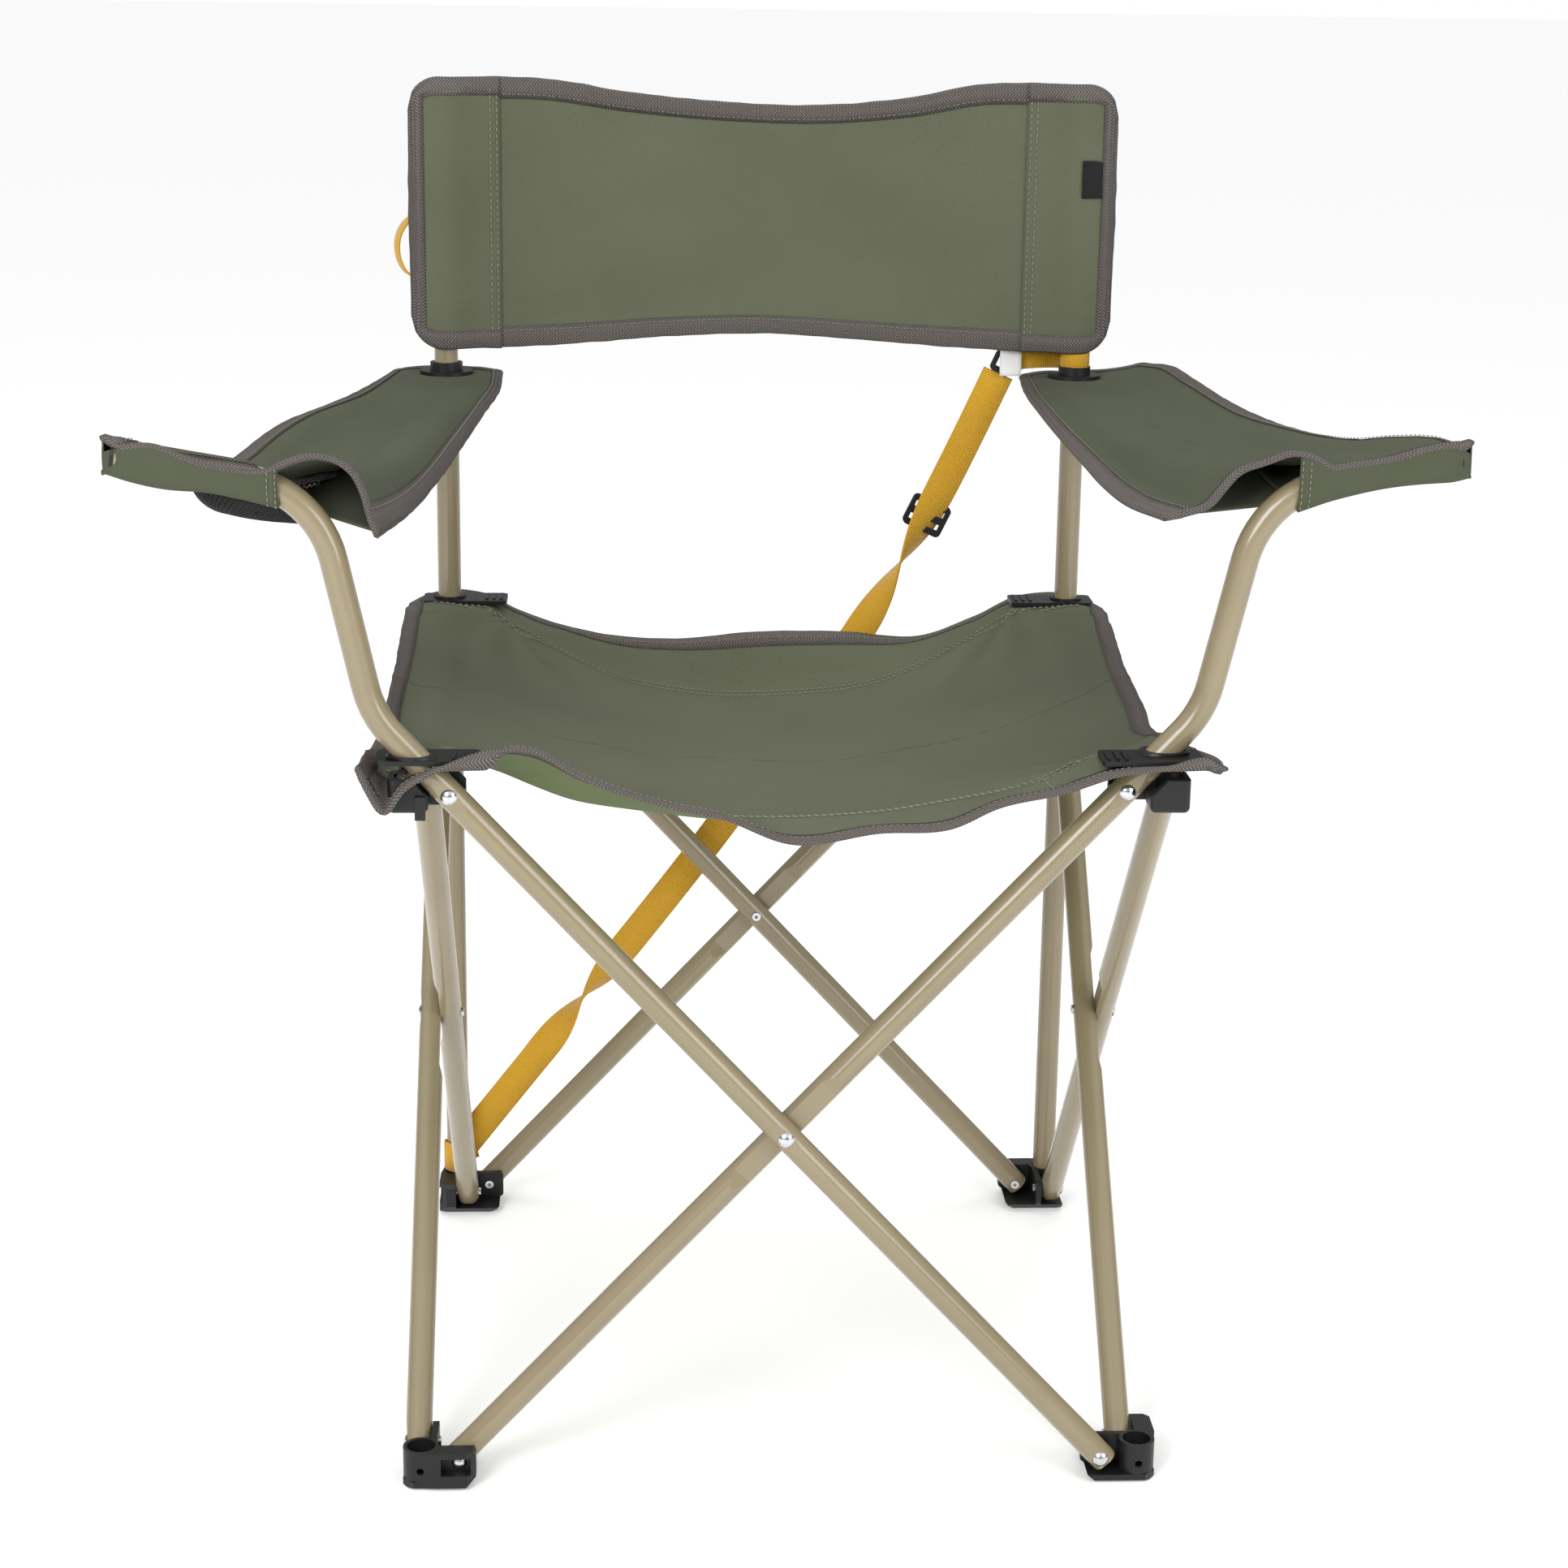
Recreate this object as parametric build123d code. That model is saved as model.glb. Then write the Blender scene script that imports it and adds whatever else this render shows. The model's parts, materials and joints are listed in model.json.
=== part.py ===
from build123d import *
import math
import os

# Folding camp chair: four crossed tube pairs between four feet and four hubs, two posts behind,
# a sling seat, a backrest and two armrests.
# Millimetres. +X is the sitter's left-to-right as seen from the front, +Y goes to the back, +Z is up.
# The origin is on the floor under the middle of the chair.

# Driving dimensions
square_y = -2.0  # middle of the square of legs
half_span = 193.0  # from the middle of the square to each leg rivet, open
rivet_low_z = 15.0
rivet_high_z = 430.0
socket_at = 216.0  # from the middle of the square to a foot's socket or a post, each way
outer_plane = 219.0  # axis of the outer leg of each pair
inner_plane = 208.0  # axis of the inner leg
leg_radius = 8.0
arm_leg_radius = 8.0  # the two front legs, which carry the armrests
post_radius = 8.0
tube_wall = 1.2
running_gap = 0.3
pin_gap = 0.05
leg_end = 5.0  # tube beyond its rivet
end_round = 8.9
low_bend = (-235.2, 475.8)  # corners of the front left leg above its hub, as x and z
high_bend = (-263.2, 603.1)
arm_tip = (-371.0, 621.2)
bend_radius = 60.0

# Rivets
shank_radius = 2.4
head_radius = 4.6
head_height = 2.1
tail_radius = 3.0
tail_height = 1.4
seat_depth = 0.92  # flat pressed into a tube under a rivet head
head_gap = 0.05

# Feet
foot_height = 24.0
base_height = 2.5
socket_wall = 2.3
socket_radius = 8.5
foot_reach = 33.0  # from the socket's axis to the end of an ear
outer_ear = 4.5
hood = 7.5  # how far the outer ear's hood stands out past that ear
inner_ear = 4.0
cross_hole = 2.25

# Hubs
hub_low = 420.5
hub_high = 440.0
hub_half = 11.4
hub_bore = 8.3
hub_reach = 32.0
hub_ear = 3.65

# Posts and backrest
post_top = 792.0
back_low = 627.0
back_high = 803.0
back_half = 238.0
seam_at = 180.0  # the sewn seam beside each post
cloth = 2.0
back_sag = 20.0

# Seat
seat_top = 449.0
seat_half = 243.0
seat_flat = 178.0
seat_sag = 44.0
seat_front_y = -236.0
seat_rear_y = 228.0
plate_size = (58.0, 28.0, 2.6)
plate_post_offset = 11.0

# Armrests
arm_top = 609.0
arm_rear_y = 240.0
arm_front_inner = 229.0
arm_front_outer = 375.0
arm_rear_inner = 189.0
arm_rear_outer = 246.0
sleeve_radius = 10.4
sleeve_inner_x = 306.0
eyelet_radius = 18.0
eyelet_high = 616.0
cup_at = (-300.0, -150.0)
cup_radius = 41.0
cup_depth = 42.0
mesh_wall = 1.6

# Carry strap
strap_width = 22.0
strap_thick = 2.2
strap_y = 229.0
strap_loop_low = (24.6, 46.0)
strap_loop_high = (617.2, 626.2)
strap_route = [
    (165.0, 609.0),
    (143.0, 560.0),
    (118.0, 508.0),
    (89.0, 453.0),
    (52.0, 394.0),
    (8.0, 330.0),
    (-35.0, 268.0),
    (-80.0, 208.0),
    (-122.0, 154.0),
    (-160.0, 104.0),
    (-191.0, 64.0),
    (-214.0, 34.0),
]

rise = rivet_high_z - rivet_low_z
open_deg = math.degrees(math.atan2(rise, 2 * half_span))
middle_z = (rivet_low_z + rivet_high_z) / 2
flat_at = (outer_plane - inner_plane) / 2 - 0.15  # crossing legs are pressed flat to this depth
flat_half = 37.0
ramp = 9.0
square = Location((0, square_y, 0))


def cylinder(start, end, radius):
    start = Vector(*start)
    along = Vector(*end) - start
    return Solid.make_cylinder(radius, along.length, Plane(origin=start, z_dir=along))


def pipe(line, radius):
    """A round bar along straight runs and arcs."""
    solid = None
    for edge in line.edges():
        section = Plane(origin=edge @ 0, z_dir=edge % 0) * Circle(radius)
        if edge.geom_type == GeomType.LINE:
            run = cylinder(edge @ 0, edge @ 1, radius)
        else:
            middle = edge.arc_center
            turn = (edge @ 0 - middle).cross(edge % 0)
            run = revolve(section, Axis(middle, turn), math.degrees(edge.length / edge.radius))
        solid = run if solid is None else solid + run
    return solid


def box(low, high):
    size = [b - a for a, b in zip(low, high)]
    middle = [(a + b) / 2 for a, b in zip(low, high)]
    return Pos(*middle) * Box(*size)


def turned(shape, quarter):
    """The shape at another side or corner of the square, a number of quarter turns on."""
    return Rot(0, 0, 90 * quarter) * shape


def prism(point, along, facing, outline, width):
    """An outline in the plane of along and facing, given that width across the plane."""
    plane = Plane(origin=point, x_dir=along, z_dir=Vector(*along).cross(Vector(*facing)))
    return extrude(plane * make_face(Polyline(*outline, close=True)), width / 2, both=True)


def flat(point, along, facing, radius, reach, half):
    """What a press takes off a tube: all beyond reach from its axis, with a ramp at each end."""
    far = radius + 4
    outline = [
        (-half - ramp, radius),
        (-half, reach),
        (half, reach),
        (half + ramp, radius),
        (half + ramp, far),
        (-half - ramp, far),
    ]
    return prism(point, along, facing, outline, 4 * radius)


def hollow(outer, inner, radius, flats):
    """A tube of both solids, pressed flat in places: (point, along, facing, reach, half)."""
    for point, along, facing, reach, half in flats:
        outer = outer - flat(point, along, facing, radius, reach, half)
        bore = radius - tube_wall
        inner = inner - flat(point, along, facing, bore, reach - tube_wall, half)
    return outer - inner


def rounded_end(point, facing, outwards, radius):
    """What rounding takes off a tube's end about the rivet at point."""
    plane = Plane(origin=point, x_dir=outwards, z_dir=facing)
    block = plane * Pos(20, 0, 0) * Box(40, 40, 4 * radius)
    return block - plane * Cylinder(end_round, 5 * radius)


def leg(outer_leg, radius, path=None):
    """A leg of the front pair, with its lower end right for the outer one and left for the inner."""
    side = 1 if outer_leg else -1
    y = -(outer_plane if outer_leg else inner_plane)
    low = Vector(side * half_span, y, rivet_low_z)
    high = Vector(-side * half_span, y, rivet_high_z)
    along = (high - low).normalized()
    start = low - along * leg_end
    if path is None:
        end = high + along * leg_end
        outer = cylinder(start, end, radius)
        inner = cylinder(start - along, end + along, radius - tube_wall)
    else:
        line = FilletPolyline(start, *[Vector(side * x, y, z) for x, z in path], radius=bend_radius)
        outer = pipe(line, radius)
        inner = pipe(line, radius - tube_wall)
    out = Vector(0, -1, 0)
    facing = -out if outer_leg else out
    middle = (low + high) / 2
    seat = radius - seat_depth
    flats = [(middle, along, facing, flat_at, flat_half)]
    if outer_leg:
        flats += [(p, along, out, seat, 5.0) for p in (low, middle, high)]
    else:
        flats += [(high, along, out, seat, 5.0)]
    tube = hollow(outer, inner, radius, flats)
    tube = tube - rounded_end(low, out, -along, radius)
    if path is None:
        tube = tube - rounded_end(high, out, along, radius)
    for point in (low, middle, high):
        hole = shank_radius + pin_gap
        tube = tube - cylinder(point - out * 20, point + out * 20, hole)
    return tube


def rivet(head, direction, length):
    """A rivet from under its domed head, along direction, to the end of its hollow tail."""
    ball = (head_radius**2 + head_height**2) / (2 * head_height)
    dome = Pos(0, 0, ball - head_height) * Sphere(ball)
    dome = dome & box((-10, -10, -5), (10, 10, 0))
    shank = cylinder((0, 0, 0), (0, 0, length), shank_radius)
    tail = cylinder((0, 0, length), (0, 0, length + tail_height), tail_radius)
    eye = cylinder((0, 0, length - 2), (0, 0, length + 5), 1.3)
    body = dome + shank + tail - eye
    return Plane(origin=head, z_dir=direction) * body


def foot():
    """The front left foot. The other three are the same part, a quarter turn on each."""
    c = -socket_at
    ring = socket_radius + socket_wall
    edge = c - ring
    far = c + foot_reach
    top = foot_height
    ear_y = -(inner_plane + arm_leg_radius + running_gap)
    ear_x = -(outer_plane - arm_leg_radius - running_gap)
    front_y = ear_y - outer_ear - hood
    collar = Pos(c, c, top / 2) * Cylinder(ring, top)
    plan = [
        (edge, edge + 6.3),
        (edge + 6.3, edge),
        (c + 1, edge),
        (c + 9, front_y),
        (far - 5, front_y),
        (far, front_y + 5),
        (far, far - 8),
        (far - 8, far),
        (edge + 3, far),
        (edge, far - 3),
    ]
    base = extrude(Plane.XY * make_face(Polyline(*plan, close=True)), 5)
    outer_ear_plan = plan[2:6] + [(far, ear_y), (c, ear_y)]
    ear = extrude(Plane.XY * make_face(Polyline(*outer_ear_plan, close=True)), top)
    pocket = box((c + ring + 1.5, front_y - 1, 9.6), (far - 3, ear_y - outer_ear, 20.6))
    inner_ear_block = box((ear_x, c - 6, 0), (ear_x + inner_ear, far, top))
    solid = base + collar + (ear - pocket) + inner_ear_block
    front = [
        (edge - 9, 4),
        (edge + 4, 0),
        (far - 8, 0),
        (far, 7),
        (far, top - 3),
        (far - 3, top + 3),
        (edge - 9, top + 3),
    ]
    side_way = prism((0, c, 0), (1, 0, 0), (0, 0, 1), front, 200)
    front_way = prism((c, 0, 0), (0, 1, 0), (0, 0, 1), front, 200)
    solid = solid & side_way & front_way
    solid = solid - cylinder((c, c, base_height + 0.5), (c, c, 40), socket_radius)
    solid = solid - cylinder((c, c - 20, top / 2), (c, c, top / 2), cross_hole)
    solid = solid - cylinder((c - 20, c, top / 2), (c, c, top / 2), cross_hole)
    hole = shank_radius + 0.02
    rivet_x = -half_span
    for start, end in (
        ((rivet_x, -240, rivet_low_z), (rivet_x, -212, rivet_low_z)),
        ((-212, rivet_x, rivet_low_z), (-200, rivet_x, rivet_low_z)),
    ):
        solid = solid - cylinder(start, end, hole)
    return solid


def foot_rivets(front_radius, side_radius):
    """The two rivets of the front left foot."""
    plate_y = inner_plane + arm_leg_radius + running_gap + outer_ear
    length = plate_y - inner_plane + front_radius + head_gap
    front = rivet((-half_span, -plate_y, rivet_low_z), (0, 1, 0), length)
    head = outer_plane + side_radius - seat_depth + head_gap
    inside = outer_plane - arm_leg_radius - running_gap - inner_ear
    side = rivet((-head, -half_span, rivet_low_z), (1, 0, 0), head - inside)
    return front, side


def hub():
    """The front left hub, before any room is cut for an armrest leg that passes over it."""
    c = -socket_at
    barrel = box((c - hub_half, c - hub_half, hub_low), (c + hub_half, c + hub_half, hub_high))
    rounded = barrel.edges().filter_by(Axis.Z) + barrel.edges().group_by(Axis.Z)[0]
    barrel = fillet(rounded, 3.4)
    out_y = -(outer_plane - arm_leg_radius - running_gap)
    far = c + hub_reach
    low = hub_low + 1
    front_ear = box((c, out_y, low), (far, out_y + inner_ear, hub_high))
    in_x = -(inner_plane - arm_leg_radius - running_gap)
    side_ear = box((in_x, out_y, low), (in_x + hub_ear, far, hub_high))
    front_ear = chamfer(front_ear.edges().filter_by(Axis.Y).group_by(Axis.X)[-1], 4)
    side_ear = chamfer(side_ear.edges().filter_by(Axis.X).group_by(Axis.Y)[-1], 4)
    solid = barrel + front_ear + side_ear
    solid = solid - cylinder((c, c, hub_low - 5), (c, c, hub_high + 5), hub_bore)
    hole = shank_radius + 0.02
    x = -half_span
    solid = solid - cylinder((x, out_y - 9, rivet_high_z), (x, out_y + 5, rivet_high_z), hole)
    start = (in_x - 9, x, rivet_high_z)
    return solid - cylinder(start, (in_x + 8, x, rivet_high_z), hole)


def leg_room(side):
    """The space over a front hub's barrel that its armrest leg passes through."""
    angle = math.radians(open_deg)
    along = (side * math.cos(angle), 0, math.sin(angle))
    up = (side * math.sin(angle), 0, -math.cos(angle))
    room = arm_leg_radius + 0.6
    outline = [(0, room), (70, room), (70, -40), (0, -40)]
    space = prism((side * half_span, -socket_at, rivet_high_z), along, up, outline, 40)
    inner = side * (socket_at - hub_half - 0.1)
    outer = side * (socket_at + 20)
    return space & box((min(inner, outer), -240, 400), (max(inner, outer), -180, 500))


def hanging_tab():
    """The short tongue below the front left hub."""
    return box((-212, -230, hub_low - 3), (-206, -226.5, 431))


def hub_rivets(front_radius, side_radius):
    """The two rivets of the front left hub."""
    head = outer_plane + front_radius - seat_depth + head_gap
    inside = outer_plane - arm_leg_radius - running_gap - inner_ear
    front = rivet((-half_span, -head, rivet_high_z), (0, 1, 0), head - inside)
    head = inner_plane + side_radius - seat_depth + head_gap
    inside = inner_plane - arm_leg_radius - running_gap - hub_ear
    side = rivet((-head, -half_span, rivet_high_z), (1, 0, 0), head - inside)
    return front, side


def cross_rivet(radius):
    """The rivet where the front pair of legs cross."""
    head = outer_plane + radius - seat_depth + head_gap
    return rivet((0, -head, middle_z), (0, 1, 0), head - inner_plane + radius + head_gap)


def post():
    """The right post, with the hole for its pin at the back."""
    tube = cylinder((0, 0, base_height + 0.6), (0, 0, post_top), post_radius)
    tube = tube - cylinder((0, 0, 0), (0, 0, post_top + 1), post_radius - tube_wall)
    tube = tube - cylinder((0, 0, foot_height / 2), (0, 20, foot_height / 2), cross_hole)
    return Pos(socket_at, socket_at, 0) * tube


def post_pin():
    """The pin that holds the right post in its foot."""
    reach = socket_radius + socket_wall
    pin = cylinder((0, 5, 0), (0, reach + 0.3, 0), cross_hole - 0.02)
    return Pos(socket_at, socket_at, foot_height / 2) * pin


def post_cap():
    plug = cylinder((0, 0, post_top - 14), (0, 0, post_top), post_radius - tube_wall - 0.05)
    top = fillet(Cylinder(post_radius, 4).edges().group_by(Axis.Z)[-1], 1.5)
    return Pos(socket_at, socket_at, 0) * (plug + Pos(0, 0, post_top + 2) * top)


def arm_plug(side, y):
    """The plastic stopper in an armrest leg's open tip."""
    tip = Vector(-side * arm_tip[0], y, arm_tip[1])
    along = (tip - Vector(-side * high_bend[0], y, high_bend[1])).normalized()
    stem = cylinder(tip - along * 12, tip, arm_leg_radius - tube_wall - 0.05)
    return stem + cylinder(tip, tip + along * 2.4, arm_leg_radius)


def back_panel():
    """The backrest between its seams: a sheet that bows backwards."""
    half = seam_at - 0.4
    bow = ThreePointArc((-half, socket_at), (0, socket_at + back_sag), (half, socket_at))
    sheet = trace(bow, cloth)
    return Pos(0, 0, back_low) * extrude(sheet, back_high - back_low)


def back_sleeve():
    """The sewn pocket that holds the right post's top."""
    inside = post_radius + running_gap
    round_part = cylinder((0, 0, back_low), (0, 0, back_high), inside + cloth)
    wing = box((seam_at - socket_at, -cloth / 2, back_low), (-inside, cloth / 2, back_high))
    edge = box((inside, -cloth / 2, back_low), (back_half - socket_at, cloth / 2, back_high))
    bore = cylinder((0, 0, back_low - 1), (0, 0, post_top + 5), inside)
    return Pos(socket_at, socket_at, 0) * (round_part + wing + edge - bore)


def seat_half_sheet(y_low, y_high):
    """One half of the seat: flat along both sides and hanging in between."""
    low = seat_top - cloth / 2
    line = (
        Line((-seat_half, low), (-seat_flat, low))
        + ThreePointArc((-seat_flat, low), (0, low - seat_sag), (seat_flat, low))
        + Line((seat_flat, low), (seat_half, low))
    )
    sheet = Plane.XZ * trace(line, cloth)
    solid = extrude(sheet, -(y_high - y_low))
    solid = Pos(0, y_low, 0) * solid
    for side in (-1, 1):
        post_hole = cylinder(
            (side * socket_at, socket_at, 400), (side * socket_at, socket_at, 500), post_radius + 2
        )
        y = -(outer_plane if side < 0 else inner_plane)
        foot_end = (side * (half_span - 40), y, rivet_high_z - 40 * rise / (2 * half_span))
        top = (side * (half_span + 40), y, rivet_high_z + 40 * rise / (2 * half_span))
        solid = solid - post_hole - cylinder(foot_end, top, arm_leg_radius + 2.5)
    return solid


def seat_plate(side, front):
    """A moulded plate that stiffens a seat corner round the tube that passes through it."""
    long, deep, thick = plate_size
    z = seat_top + 0.3
    middle_x = side * (socket_at - plate_post_offset)
    y = -socket_at if front else socket_at
    body = Pos(middle_x, y, z + thick / 2) * Box(long, deep, thick)
    body = fillet(body.edges().filter_by(Axis.Z), 4)
    inner_end = middle_x - side * (long / 2 - 4)
    for step in range(3):
        rib_x = inner_end + side * 5 * step
        body = body + Pos(rib_x, y, z + thick + 0.5) * Box(2, deep - 9, 1)
    if front:
        leg_y = -(outer_plane if side < 0 else inner_plane)
        slope = rise / (2 * half_span)
        at_x = half_span + (z + 1.5 - rivet_high_z) / slope
        direction = Vector(side * 1, 0, slope).normalized()
        middle = Vector(side * at_x, leg_y, z + 1.5)
        lip = cylinder(middle - direction * 12, middle + direction * 12, arm_leg_radius + 3)
        body = body + (lip & box((-260, -260, z), (260, 260, z + thick + 1.6)))
        hole = cylinder(middle - direction * 40, middle + direction * 40, arm_leg_radius + 0.4)
    else:
        x = side * socket_at
        body = body + cylinder((x, y, z), (x, y, z + thick + 1.6), post_radius + 3)
        hole = cylinder((x, y, z - 1), (x, y, z + 10), post_radius + 0.4)
    return body - hole


def armrest(side):
    """An armrest: a flat tapering sheet with a sleeve in front for the leg's tip."""
    leg_y = -(outer_plane if side < 0 else inner_plane)
    z = arm_top - cloth
    behind = leg_y + arm_leg_radius + 1.0
    plan = [
        (side * arm_front_inner, behind),
        (side * arm_front_outer, behind),
        (side * arm_rear_outer, arm_rear_y),
        (side * arm_rear_inner, arm_rear_y),
    ]
    sheet = Pos(0, 0, z) * extrude(make_face(Polyline(*plan, close=True)), cloth)
    post_at = (side * socket_at, socket_at)
    sheet = sheet - cylinder((*post_at, z - 5), (*post_at, z + 9), eyelet_radius + 0.4)
    slope = (arm_tip[1] - high_bend[1]) / (high_bend[0] - arm_tip[0])
    inner_z = arm_tip[1] - slope * (-arm_tip[0] - sleeve_inner_x)
    inner = Vector(side * sleeve_inner_x, leg_y, inner_z)
    tip = Vector(-side * arm_tip[0], leg_y, arm_tip[1])
    along = (tip - inner).normalized()
    sleeve = cylinder(inner, tip + along * 4.5, sleeve_radius)
    sleeve = sleeve - cylinder(inner - along, tip + along * 2.8, arm_leg_radius + running_gap)
    flap_x = sorted((side * sleeve_inner_x, side * arm_front_outer))
    flap = box((flap_x[0], leg_y + 8.6, z - 2), (flap_x[1], leg_y + 10.2, 616))
    solid = sheet + flap + sleeve
    if side < 0:
        solid = solid - cylinder((*cup_at, z - 30), (*cup_at, z + 30), cup_radius + mesh_wall)
    return solid


def cup_mesh():
    """The net cup that hangs in the left armrest's hole."""
    x, y = cup_at
    low = arm_top - cup_depth
    rim = cup_radius + mesh_wall - 0.05
    cup = Solid.make_cone(cup_radius - 4, rim, cup_depth, Plane(origin=(x, y, low)))
    inner_low = cup_radius - 4 - mesh_wall
    space = Solid.make_cone(
        inner_low, rim - mesh_wall, cup_depth, Plane(origin=(x, y, low + mesh_wall))
    )
    return cup - space


def eyelet(side):
    """The flanged eyelet at an armrest's back corner, round the post."""
    x = side * socket_at
    ring = cylinder((x, socket_at, arm_top - 4), (x, socket_at, arm_top + 1.4), eyelet_radius)
    collar = cylinder((x, socket_at, arm_top), (x, socket_at, eyelet_high), post_radius + 3)
    hole = cylinder((x, socket_at, 500), (x, socket_at, 700), post_radius + 0.03)
    return ring + collar - hole


def strap():
    """The webbing between its two ends, behind the rear legs."""
    points = [Vector(x, z) for x, z in strap_route]
    radii = []
    for before, here, after in zip(points, points[1:], points[2:]):
        turn = math.radians((here - before).get_angle(after - here))
        shorter = min((here - before).length, (after - here).length)
        radii.append(0.45 * shorter / math.tan(turn / 2))
    print("strap radii", [round(r) for r in radii])
    line = FilletPolyline(*points, radius=radii)
    print("strap length", round(line.length))
    ribbon = Plane.XZ * trace(line, strap_width)
    return Pos(0, strap_y + strap_thick, 0) * extrude(ribbon, strap_thick)


def strap_loop(side, span):
    """The webbing's loop round a post, joined to the strap behind it."""
    low, high = span
    inside = post_radius + 0.03
    back = strap_y - socket_at
    ring = cylinder((0, 0, low), (0, 0, high), inside + strap_thick)
    joint = box((-6, inside, low), (6, back, high))
    loop = ring + joint - cylinder((0, 0, low - 1), (0, 0, high + 1), inside)
    if side > 0:
        loop = loop + box((-38, back, 613), (8, back + strap_thick, 631))
    return Pos(side * socket_at, socket_at, 0) * loop


def strap_ring():
    """The ring between the right loop's tongue and the strap."""
    (x0, z0), (x1, z1) = strap_route[0], strap_route[1]
    angle = math.degrees(math.atan2(z0 - z1, x0 - x1)) - 90
    frame = fillet(Box(15, 3.4, 15).edges().filter_by(Axis.Y), 3) - Box(8.6, 9, 7)
    away = Vector(x0 - x1, z0 - z1).normalized() * 7.6
    return Pos(x0 + away.X, strap_y + 1.2, z0 + away.Y) * Rot(0, -angle, 0) * frame


def slider():
    """The three-bar slide that sets the strap's length."""
    (x0, z0), (x1, z1) = strap_route[1], strap_route[2]
    angle = math.degrees(math.atan2(z0 - z1, x0 - x1)) - 90
    frame = fillet(Box(strap_width + 7, 4, 23).edges().filter_by(Axis.Y), 3.5)
    for z in (-4.8, 4.8):
        frame = frame - Pos(0, 0, z) * Box(strap_width + 0.6, 9, 4.4)
    place = Pos(x1, strap_y + strap_thick + 2.0, z1) * Rot(0, -angle, 0)
    return place * frame


def store_loop():
    """The webbing loop at the backrest's left edge that the folded chair is tied with."""
    ring = SlotCenterToCenter(26, 12) - SlotCenterToCenter(26, 12 - 2 * strap_thick)
    loop = Rot(90, 0, 0) * Rot(0, 0, 90) * extrude(ring, 9, both=True)
    return Pos(-back_half - 4.6, socket_at + 10, 692) * loop


def write(name, shape):
    """Turns a shape of the square into the chair's own frame and writes its file."""
    placed = square * shape
    placed.label = name
    export_step(placed, f"parts/{name}.step")


os.makedirs("parts", exist_ok=True)
corners = ["front_left", "front_right", "rear_right", "rear_left"]
sides = ["front", "right", "rear", "left"]

arm_path = [low_bend, high_bend, arm_tip]
write("front_leg_left_arm", leg(True, arm_leg_radius, arm_path))
write("front_leg_right_arm", leg(False, arm_leg_radius, arm_path))
for turn, side_name in enumerate(sides[1:], 1):
    write(f"{side_name}_leg_outer", turned(leg(True, leg_radius), turn))
    write(f"{side_name}_leg_inner", turned(leg(False, leg_radius), turn))
for turn, side_name in enumerate(sides):
    radius = leg_radius if turn else arm_leg_radius
    write(f"{side_name}_cross_rivet", turned(cross_rivet(radius), turn))

for turn, corner in enumerate(corners):
    front_radius = arm_leg_radius if turn == 0 else leg_radius
    side_radius = arm_leg_radius if turn == 1 else leg_radius
    write(f"foot_{corner}", turned(foot(), turn))
    rivets = Compound(children=foot_rivets(front_radius, side_radius))
    write(f"foot_rivets_{corner}", turned(rivets, turn))
    rivets = Compound(children=hub_rivets(front_radius, side_radius))
    write(f"hub_rivets_{corner}", turned(rivets, turn))
write("hub_front_left", hub() - leg_room(-1) + hanging_tab())
write("hub_front_right", turned(hub(), 1) - leg_room(1))
write("hub_rear_right", turned(hub(), 2))
write("hub_rear_left", turned(hub(), 3))

for side, name in ((-1, "left"), (1, "right")):
    mirrored = (lambda shape: mirror(shape, Plane.YZ)) if side < 0 else (lambda shape: shape)
    write(f"post_{name}", mirrored(post()))
    write(f"post_cap_{name}", mirrored(post_cap()))
    write(f"post_pin_{name}", mirrored(post_pin()))
    write(f"back_sleeve_{name}", mirrored(back_sleeve()))
    write(f"arm_plug_{name}", arm_plug(side, -(outer_plane if side < 0 else inner_plane)))
    write(f"armrest_{name}", armrest(side))
    write(f"arm_eyelet_{name}", eyelet(side))
    write(f"seat_plate_front_{name}", seat_plate(side, True))
    write(f"seat_plate_rear_{name}", seat_plate(side, False))
write("back_panel", back_panel())
write("seat_front_half", seat_half_sheet(seat_front_y, -0.2))
write("seat_rear_half", seat_half_sheet(0.2, seat_rear_y))
write("cup_mesh", cup_mesh())
write("carry_strap", strap())
write("strap_loop_right", strap_loop(1, strap_loop_high))
write("strap_loop_left", strap_loop(-1, strap_loop_low))
write("strap_ring", strap_ring())
write("strap_slider", slider())
write("store_loop", store_loop())
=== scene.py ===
import json
import math

import bpy
import numpy as np
from mathutils import Matrix, Vector, noise


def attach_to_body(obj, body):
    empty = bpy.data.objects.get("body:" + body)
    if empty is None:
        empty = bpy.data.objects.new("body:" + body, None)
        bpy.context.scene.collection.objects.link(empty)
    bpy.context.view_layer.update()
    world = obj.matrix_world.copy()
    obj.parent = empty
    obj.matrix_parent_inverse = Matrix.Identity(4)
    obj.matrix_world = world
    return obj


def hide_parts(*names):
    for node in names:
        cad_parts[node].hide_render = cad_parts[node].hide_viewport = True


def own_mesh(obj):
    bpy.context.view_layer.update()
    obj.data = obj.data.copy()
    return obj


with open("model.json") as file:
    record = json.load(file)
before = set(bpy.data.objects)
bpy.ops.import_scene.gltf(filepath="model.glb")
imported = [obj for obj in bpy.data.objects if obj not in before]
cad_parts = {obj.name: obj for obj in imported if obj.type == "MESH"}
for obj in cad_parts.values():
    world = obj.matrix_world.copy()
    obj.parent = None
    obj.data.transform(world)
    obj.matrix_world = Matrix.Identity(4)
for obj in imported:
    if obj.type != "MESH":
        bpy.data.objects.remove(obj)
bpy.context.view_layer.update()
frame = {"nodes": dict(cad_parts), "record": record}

SHIFT = np.array([0.0, -2.0, 0.0])  # the leg square's middle, in millimetres
CLOTH = 0.0012


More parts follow.
